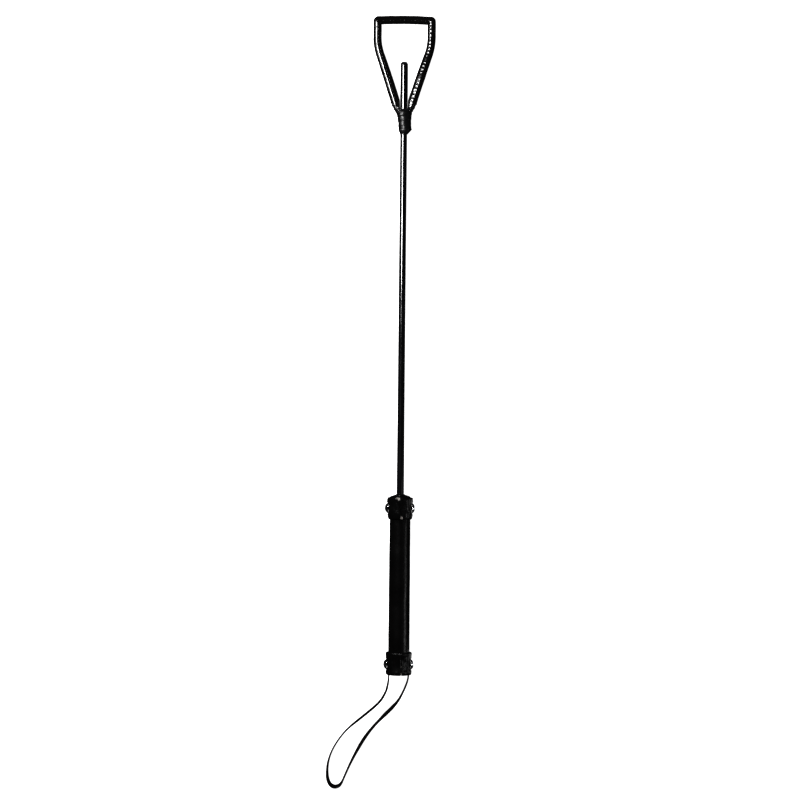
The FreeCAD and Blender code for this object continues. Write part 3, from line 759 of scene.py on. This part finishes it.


def end_cut(spec, radius, along, from_end):
    """How far a rim is drawn in beside the band's ends, where a notch is cut out of them."""
    middle = (spec["foot"] + spec["top"]) / 2
    slope = float(ease(radius, *spec["skive"]))
    cut = 0.0
    for (deep, half), rim in ((spec["top_cut"], spec["top"] - RIM), (spec["foot_cut"], spec["foot"] + RIM)):
        reach = float(ease(along, middle, rim))
        cut += math.copysign(deep, middle - along) * max(0.0, 1 - from_end / half) * reach * slope
    return cut


def band_relief(radius, angle, level, from_end, from_nail):
    """Ends that curl up, a dimple under each nail with a swollen ring round it, and puckers round that."""
    nail_gap = math.hypot(radius * math.sin(angle), from_nail)
    nail_gap = nail_gap if abs(math.cos(angle)) > 0.5 else math.inf
    curl = 0.18 * hump(from_end, 0.8, 0.6) - 0.25 * hump(from_end, 0.0, 0.3)
    dimple = 0.40 * hump(nail_gap, 6.1, 1.2) - 0.45 * hump(nail_gap, 2.5, 2.8)
    pucker = 0.12 * math.sin(6 * angle + 3 * level) * hump(nail_gap, 7.5, 2.5)
    return float(ease(radius, 10.4, 11.2)) * (curl + dimple + pucker)


def collar_rings(spec, nail_along, sides=240):
    """A leather band bent round the grip, its ends meeting at the front, and the depth of its cuts."""
    section = soft_line(spec["outline"] + spec["outline"][:1], 0.45, 2)[:-1]
    rings, cuts = [], []
    for share in np.linspace(0, 1, sides):
        ring = []
        for radius, along in section:
            level = (along - spec["foot"]) / (spec["top"] - spec["foot"])
            seam = spec["foot_seam"] + (spec["top_seam"] - spec["foot_seam"]) * level
            start = math.acos(np.clip(seam / radius, -1, 1)) + SLIT / 2
            angle = start + share * (TAU - SLIT)
            from_end = min(share, 1 - share) * TAU * radius
            cut = end_cut(spec, radius, along, from_end)
            place = along + cut
            relief = band_relief(radius, angle, level, from_end, place - nail_along)
            ring.append((radius, angle, place, relief, cut))
        radius, angle, place, relief, cut = np.array(ring).T
        flat = np.stack([radius * np.cos(angle), place, radius * np.sin(angle)], 1)
        lumps = 0.45 * wander(flat, 4.2, spec["seed"])
        lumps = lumps + 0.2 * wander(flat * [1, 0.4, 1], 1.8, spec["seed"] + 1)
        sideways = 0.2 + 0.8 * np.abs(np.cos(angle))
        out = radius + relief + sideways * lumps * ease(radius, 10.2, 11.2)
        rings.append(np.stack([out * np.cos(angle), place, out * np.sin(angle)], 1))
        cuts.append(np.abs(cut) * (radius < spec["skive"][1]))
    return np.array(rings), np.array(cuts)


def show_raw_ends_painted_highlight(collar, cuts):
    """Undyed split leather on the sloping faces that were cut for the notches, in a light grey that is also a
    painted highlight.
    """
    collar.data.materials.append(MATERIALS["raw_edge_painted_highlight"])
    rows, sides = cuts.shape
    for face in collar.data.polygons:
        places = [divmod(corner, sides) for corner in face.vertices if corner < rows * sides]
        # Faces lying mostly on a deep cut take the raw leather, whose light grey is a painted highlight.
        raw = sum(cuts[row, side] > RAW_HIGHLIGHT_DEPTH for row, side in places)
        face.material_index = int(raw > 1)


def make_collars():
    for which, spec in COLLARS.items():
        rings, cuts = collar_rings(spec, NAIL_ALONG[which])
        collar = skin(f"{which}_collar_leather", rings)
        dress(collar, "collar", stands_for=[f"{which}_collar"])
        show_raw_ends_painted_highlight(collar, cuts)


NAIL_PROFILE = [  # radius, height above the seat
    (0.02, 2.85), (1.3, 2.78), (2.7, 2.35), (3.75, 1.55), (4.35, 0.75), (4.6, 0.45), (4.72, 0.15),
    (4.6, -0.12), (3.4, -0.15), (1.3, -0.1), (1.28, -2.0), (1.0, -6.0), (0.02, -6.6),
]
NAIL_SEAT = 11.2
NAIL_SIDES = 56


def nail_rings(side, along):
    """A domed head and its shank on the crop's left, -1, or right, 1."""
    angles = np.linspace(0, TAU, NAIL_SIDES, endpoint=False) * side
    rings = []
    for radius, height in soft_line(NAIL_PROFILE, 0.2, 2):
        across = np.full(NAIL_SIDES, side * (NAIL_SEAT + height))
        rings.append(np.stack([across, along + radius * np.cos(angles), radius * np.sin(angles)], 1))
    return np.array(rings)


def make_nails():
    for which, along in NAIL_ALONG.items():
        for side, name in ((-1, "left"), (1, "right")):
            nail = skin(f"{which}_nail_{name}_head", nail_rings(side, along))
            dress(nail, "chrome", stands_for=[f"{which}_nail_{name}"])


# ---------------------------------------------------------------- wrist strap

# The strap's routes on the table: across, along the table from the butt, and height, in millimetres.
STRAP_ROUTE = [
    (-11.0, -14.0, 14.6), (-12.8, -18.6, 14.0), (-17.0, -25.4, 12.9), (-25.2, -33.2, 10.8),
    (-36.6, -42.8, 7.9), (-47.2, -51.8, 5.6), (-55.2, -61.6, 4.2), (-61.4, -72.2, 3.65),
    (-64.9, -82.6, 3.6), (-65.7, -92.4, 3.6), (-64.9, -99.8, 3.6), (-61.9, -105.0, 3.6),
    (-57.2, -106.3, 3.6), (-52.6, -103.8, 3.6), (-49.0, -95.2, 3.6), (-44.4, -84.6, 3.65),
    (-38.8, -73.4, 3.8), (-32.2, -61.6, 4.6), (-24.2, -50.6, 6.2), (-14.8, -40.2, 8.6),
    (-6.2, -31.6, 11.2), (-0.4, -24.8, 13.0), (3.0, -18.6, 14.1), (5.1, -14.0, 14.6),
]
LEFT_STUB_ROUTE = [
    (-9.05, 13.0, 14.6), (-9.05, 4.0, 14.75), (-9.1, -1.0, 14.85), (-9.25, -5.0, 14.9),
    (-10.0, -10.0, 14.8), (-11.0, -14.0, 14.6),
]
RIGHT_STUB_ROUTE = [
    (9.05, 13.0, 14.6), (9.05, 4.0, 14.75), (9.1, -1.0, 14.85), (8.5, -5.0, 14.9),
    (6.8, -10.0, 14.8), (5.1, -14.0, 14.6),
]
STRAP_WIDE = 7.0
STRAP_THICK = 1.3
STRAP_SIDES = 28
STRAP_SWELL = 0.05  # the share by which its thickness varies
EDGE_FROM = 0.93  # how steep the section is where the burnished edge starts
STUB_TURNS = (0.4, 1.0)  # the share of a stub over which it takes up the loop's lean
STRAP_LEANS = [  # share of the loop's length, degrees it leans over
    (0.0, -9.0), (0.05, -14.0), (0.10, -16.0), (0.17, -16.0), (0.22, -11.0), (0.26, -5.5),
    (0.31, -4.0), (0.36, -4.5), (0.42, -8.5), (0.46, -14.0), (0.495, -17.0), (0.52, -13.0),
    (0.55, -2.5), (0.60, -4.5), (0.66, -9.0), (0.70, -15.0), (0.74, -14.5), (0.79, -8.5),
    (0.83, -7.5), (0.87, -16.0), (0.91, -16.0), (0.95, -7.0), (1.0, -2.0),
]


def route_line(name, route):
    """Points along the smooth NURBS line of a route, in metres in the row frame."""
    curve = bpy.data.curves.new(name, "CURVE")
    curve.dimensions = "3D"
    curve.resolution_u = 16
    spline = curve.splines.new("NURBS")
    spline.points.add(len(route) - 1)
    for point, (across, along, height) in zip(spline.points, route):
        point.co = (across * MM, BUTT.y + along * MM, height * MM, 1)
    spline.order_u = 3
    spline.use_endpoint_u = True
    holder = bpy.data.objects.new(name, curve)
    bpy.context.scene.collection.objects.link(holder)
    mesh = bpy.data.meshes.new_from_object(holder)
    points = np.array([vertex.co for vertex in mesh.vertices])
    bpy.data.objects.remove(holder)
    near, far = (abs(end[0] - route[0][0] * MM) for end in (points[0], points[-1]))
    return points if near < far else points[::-1]


def strap_mesh(name, line, twist):
    """A flat strap with rounded edges that stands on its edge along a line, and its line.

    It leans over by twist(share) degrees.
    """
    line = evenly(line / MM, 0.7) * MM
    heading = np.gradient(line, axis=0)
    heading /= np.linalg.norm(heading, axis=1)[:, None]
    half_wide, half_thick = STRAP_WIDE / 2 * MM, STRAP_THICK / 2 * MM
    turns = np.linspace(0, TAU, STRAP_SIDES, endpoint=False)
    # A squarish oval: flat faces and edges rounded by burnishing.
    face = np.sign(np.cos(turns)) * np.abs(np.cos(turns)) ** 0.28 * half_thick
    edge = np.sign(np.sin(turns)) * np.abs(np.sin(turns)) ** 0.75 * half_wide
    rings = []
    for number, (place, way) in enumerate(zip(line, heading)):
        share = number / (len(line) - 1)
        side = np.cross(way, [0, 0, 1])
        side /= np.linalg.norm(side)
        upright = np.cross(side, way)
        angle = math.radians(twist(share))
        across = side * math.cos(angle) + upright * math.sin(angle)
        tall = upright * math.cos(angle) - side * math.sin(angle)
        swell = 1 + STRAP_SWELL * noise.noise(Vector(place * 120))
        rings.append(place + np.outer(face * swell, across) + np.outer(edge, tall))
    vertices, faces, uvs = skin_parts((np.array(rings) - np.array(BUTT)) @ AXES.T / MM)
    thing = mesh_object(name, vertices, faces, uvs)
    thing.data.materials.append(MATERIALS["strap"])
    thing.data.materials.append(MATERIALS["edge"])
    for polygon in thing.data.polygons:
        corner = polygon.vertices[0] % STRAP_SIDES
        polygon.material_index = int(abs(math.sin(turns[corner])) > EDGE_FROM)
    return thing, line


def strap_twist(share):
    """The loop leans over a little, most in its far bend and a short way below the collar on both sides."""
    shares, leans = zip(*STRAP_LEANS)
    return float(np.interp(share, shares, leans))


def make_strap():
    first_lean, last_lean = STRAP_LEANS[0][1], STRAP_LEANS[-1][1]
    # The right end's line runs against the loop's, so its lean turns the other way.
    for side, route, lean in (("left", LEFT_STUB_ROUTE, first_lean), ("right", RIGHT_STUB_ROUTE, -last_lean)):
        def stub_twist(share, lean=lean):
            return lean * float(ease(share, *STUB_TURNS))

        stub, _ = strap_mesh(f"strap_{side}_end", route_line(f"{side}_route", route), stub_twist)
        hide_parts(f"strap_tail_{side}", f"strap_link_{side}")
        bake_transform(stub)
    loop, line = strap_mesh("wrist_strap_loop", route_line("loop_route", STRAP_ROUTE), strap_twist)
    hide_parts("wrist_loop")
    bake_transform(loop)


# ---------------------------------------------------------------- inner pieces, as the frame has them


def dress_inner():
    for node, material in (
        ("shaft_core", "rod"), ("head_wire", "wire"), ("head_padding", "cotton"), ("grip_core", "wood"),
    ):
        piece = frame["nodes"][node]
        piece.data.materials.clear()
        piece.data.materials.append(MATERIALS[material])


# ---------------------------------------------------------------- stage, lights and camera


FLOOR_GLOW = 1.06  # a light table, so bright that the crop leaves no shadow on it
WALL_GLOW = 1.0
ROOM_RADIUS = 9.0
FLOOR_SINK = 0.0002  # keeps the floor clear of what lies on it


def pale_surface(name, glow):
    """Pale paper that glows a little, with faint fibres."""
    material, node = shader(name, (0.5, 0.5, 0.5), 0.9, Specular_IOR_Level=0.1)
    fibres = noise_field(material, 300, 3)
    paper = tinted(material, fibres, (0.48, 0.48, 0.48), (0.52, 0.52, 0.52))
    link(material, paper, node.inputs["Base Color"])
    node.inputs["Emission Color"].default_value = (1, 1, 1, 1)
    node.inputs["Emission Strength"].default_value = glow
    return material


def make_room():
    """A pale floor and a pale wall far round it, hidden from the crop's gloss and from its shaded sides.

    A black cloth round the crop would hide them so, and they still look pale to the camera.
    """
    bpy.ops.mesh.primitive_circle_add(
        vertices=96, radius=ROOM_RADIUS, fill_type="NGON", location=(0, 0, -FLOOR_SINK))
    floor = bpy.context.object
    floor.name = "floor"
    floor.data.materials.append(pale_surface("floor_paper", FLOOR_GLOW))
    bpy.ops.mesh.primitive_cylinder_add(
        vertices=96, radius=ROOM_RADIUS, depth=2 * ROOM_RADIUS, end_fill_type="NOTHING", location=(0, 0, 0))
    wall = bpy.context.object
    wall.name = "backdrop"
    wall.data.materials.append(pale_surface("backdrop_paper", WALL_GLOW))
    for thing in (floor, wall):
        thing.visible_glossy = False
        thing.visible_diffuse = False


def area_light(name, place, aim, size, power):
    """A rectangular light at a place, turned to what it aims at; metres and watts."""
    data = bpy.data.lights.new(name, "AREA")
    data.shape = "RECTANGLE"
    data.size, data.size_y = size
    data.energy = power
    lamp = bpy.data.objects.new(name, data)
    lamp.location = place
    lamp.rotation_euler = (Vector(aim) - Vector(place)).to_track_quat("-Z", "Y").to_euler()
    bpy.context.scene.collection.objects.link(lamp)
    return lamp


STUDIO_LIGHTS = [  # name, place, what it aims at, size, power
    ("head_softbox", (-0.365, 0.315, 0.80), (0, 0.26, 0), (0.37, 0.15), 15),
    ("head_wing", (-0.68, 0.37, 0.62), (0, 0.26, 0), (0.40, 0.08), 4.5),
    ("grip_strip", (0.95, -0.36, 0.36), (0, -0.25, 0), (0.22, 0.26), 1.5),
]
BOUNCE_PLACE = (0.068, 0.0006)  # across and up, of a light that stands for the pale table beside the nails
BOUNCE_SIZE = (0.11, 0.02)
BOUNCE_POWER = 0.009
CARD_PLACE = (0.26, 0.18)  # across and up, of the card that whitens each right-hand nail
CARD_SIZE = (0.05, 0.31)
CARD_POWER = 0.028
NAIL_HEIGHT = 0.015  # above the table
WORLD_COLOUR = (0.9, 0.95, 1.0, 1)
WORLD_GLOW = 0.02
CONTRAST = 0.7  # the view's gamma, which sinks the darkest tones into black


def light_nails(which, level):
    """The two lights of one collar's nails, which are this far up the table."""
    place = Vector((BOUNCE_PLACE[0], level, BOUNCE_PLACE[1]))
    bounce = area_light(f"{which}_bounce", place, place + Vector((0, 0, 1)), BOUNCE_SIZE, BOUNCE_POWER)
    bounce.visible_camera = False
    beside, above = CARD_PLACE
    area_light(f"{which}_card", (beside, level, above), (0, level, NAIL_HEIGHT), CARD_SIZE, CARD_POWER)


def make_lights():
    """A softbox and its wing over the head, a weak strip to the right, and the nails' own lights."""
    for light in STUDIO_LIGHTS:
        area_light(*light)
    for which, along in NAIL_ALONG.items():
        light_nails(which, BUTT.y + along * MM)
    world = bpy.data.worlds.new("studio")
    world.use_nodes = True
    background = world.node_tree.nodes["Background"]
    background.inputs["Color"].default_value = WORLD_COLOUR
    background.inputs["Strength"].default_value = WORLD_GLOW
    bpy.context.scene.world = world
    bpy.context.scene.view_settings.view_transform = "Standard"
    bpy.context.scene.view_settings.gamma = CONTRAST


LENS = 100.0
SENSOR = 36.0
FRAME_WIDTH = 0.7411  # metres of the table that the picture takes in
PICTURE_MIDDLE = 253.95  # millimetres along the crop
PICTURE_SHIFT = -1.05  # millimetres across
ROLL = math.radians(0.54)


def make_camera():
    """A camera straight above the table, turned a little."""
    data = bpy.data.cameras.new("camera")
    data.lens = LENS
    data.sensor_width = SENSOR
    camera = bpy.data.objects.new("camera", data)
    target = Vector(row_points([PICTURE_SHIFT, PICTURE_MIDDLE, 0]))
    distance = FRAME_WIDTH * LENS / SENSOR
    camera.location = target + Vector((0, 0, distance))
    camera.rotation_euler = (0, 0, ROLL)
    bpy.context.scene.collection.objects.link(camera)
    bpy.context.scene.camera = camera


make_camera()
make_strap()
make_shaft()
make_tip()
make_loop()
make_neck()
make_grip()
make_shoulder()
make_butt()
make_collars()
make_nails()
dress_inner()
make_room()
make_lights()
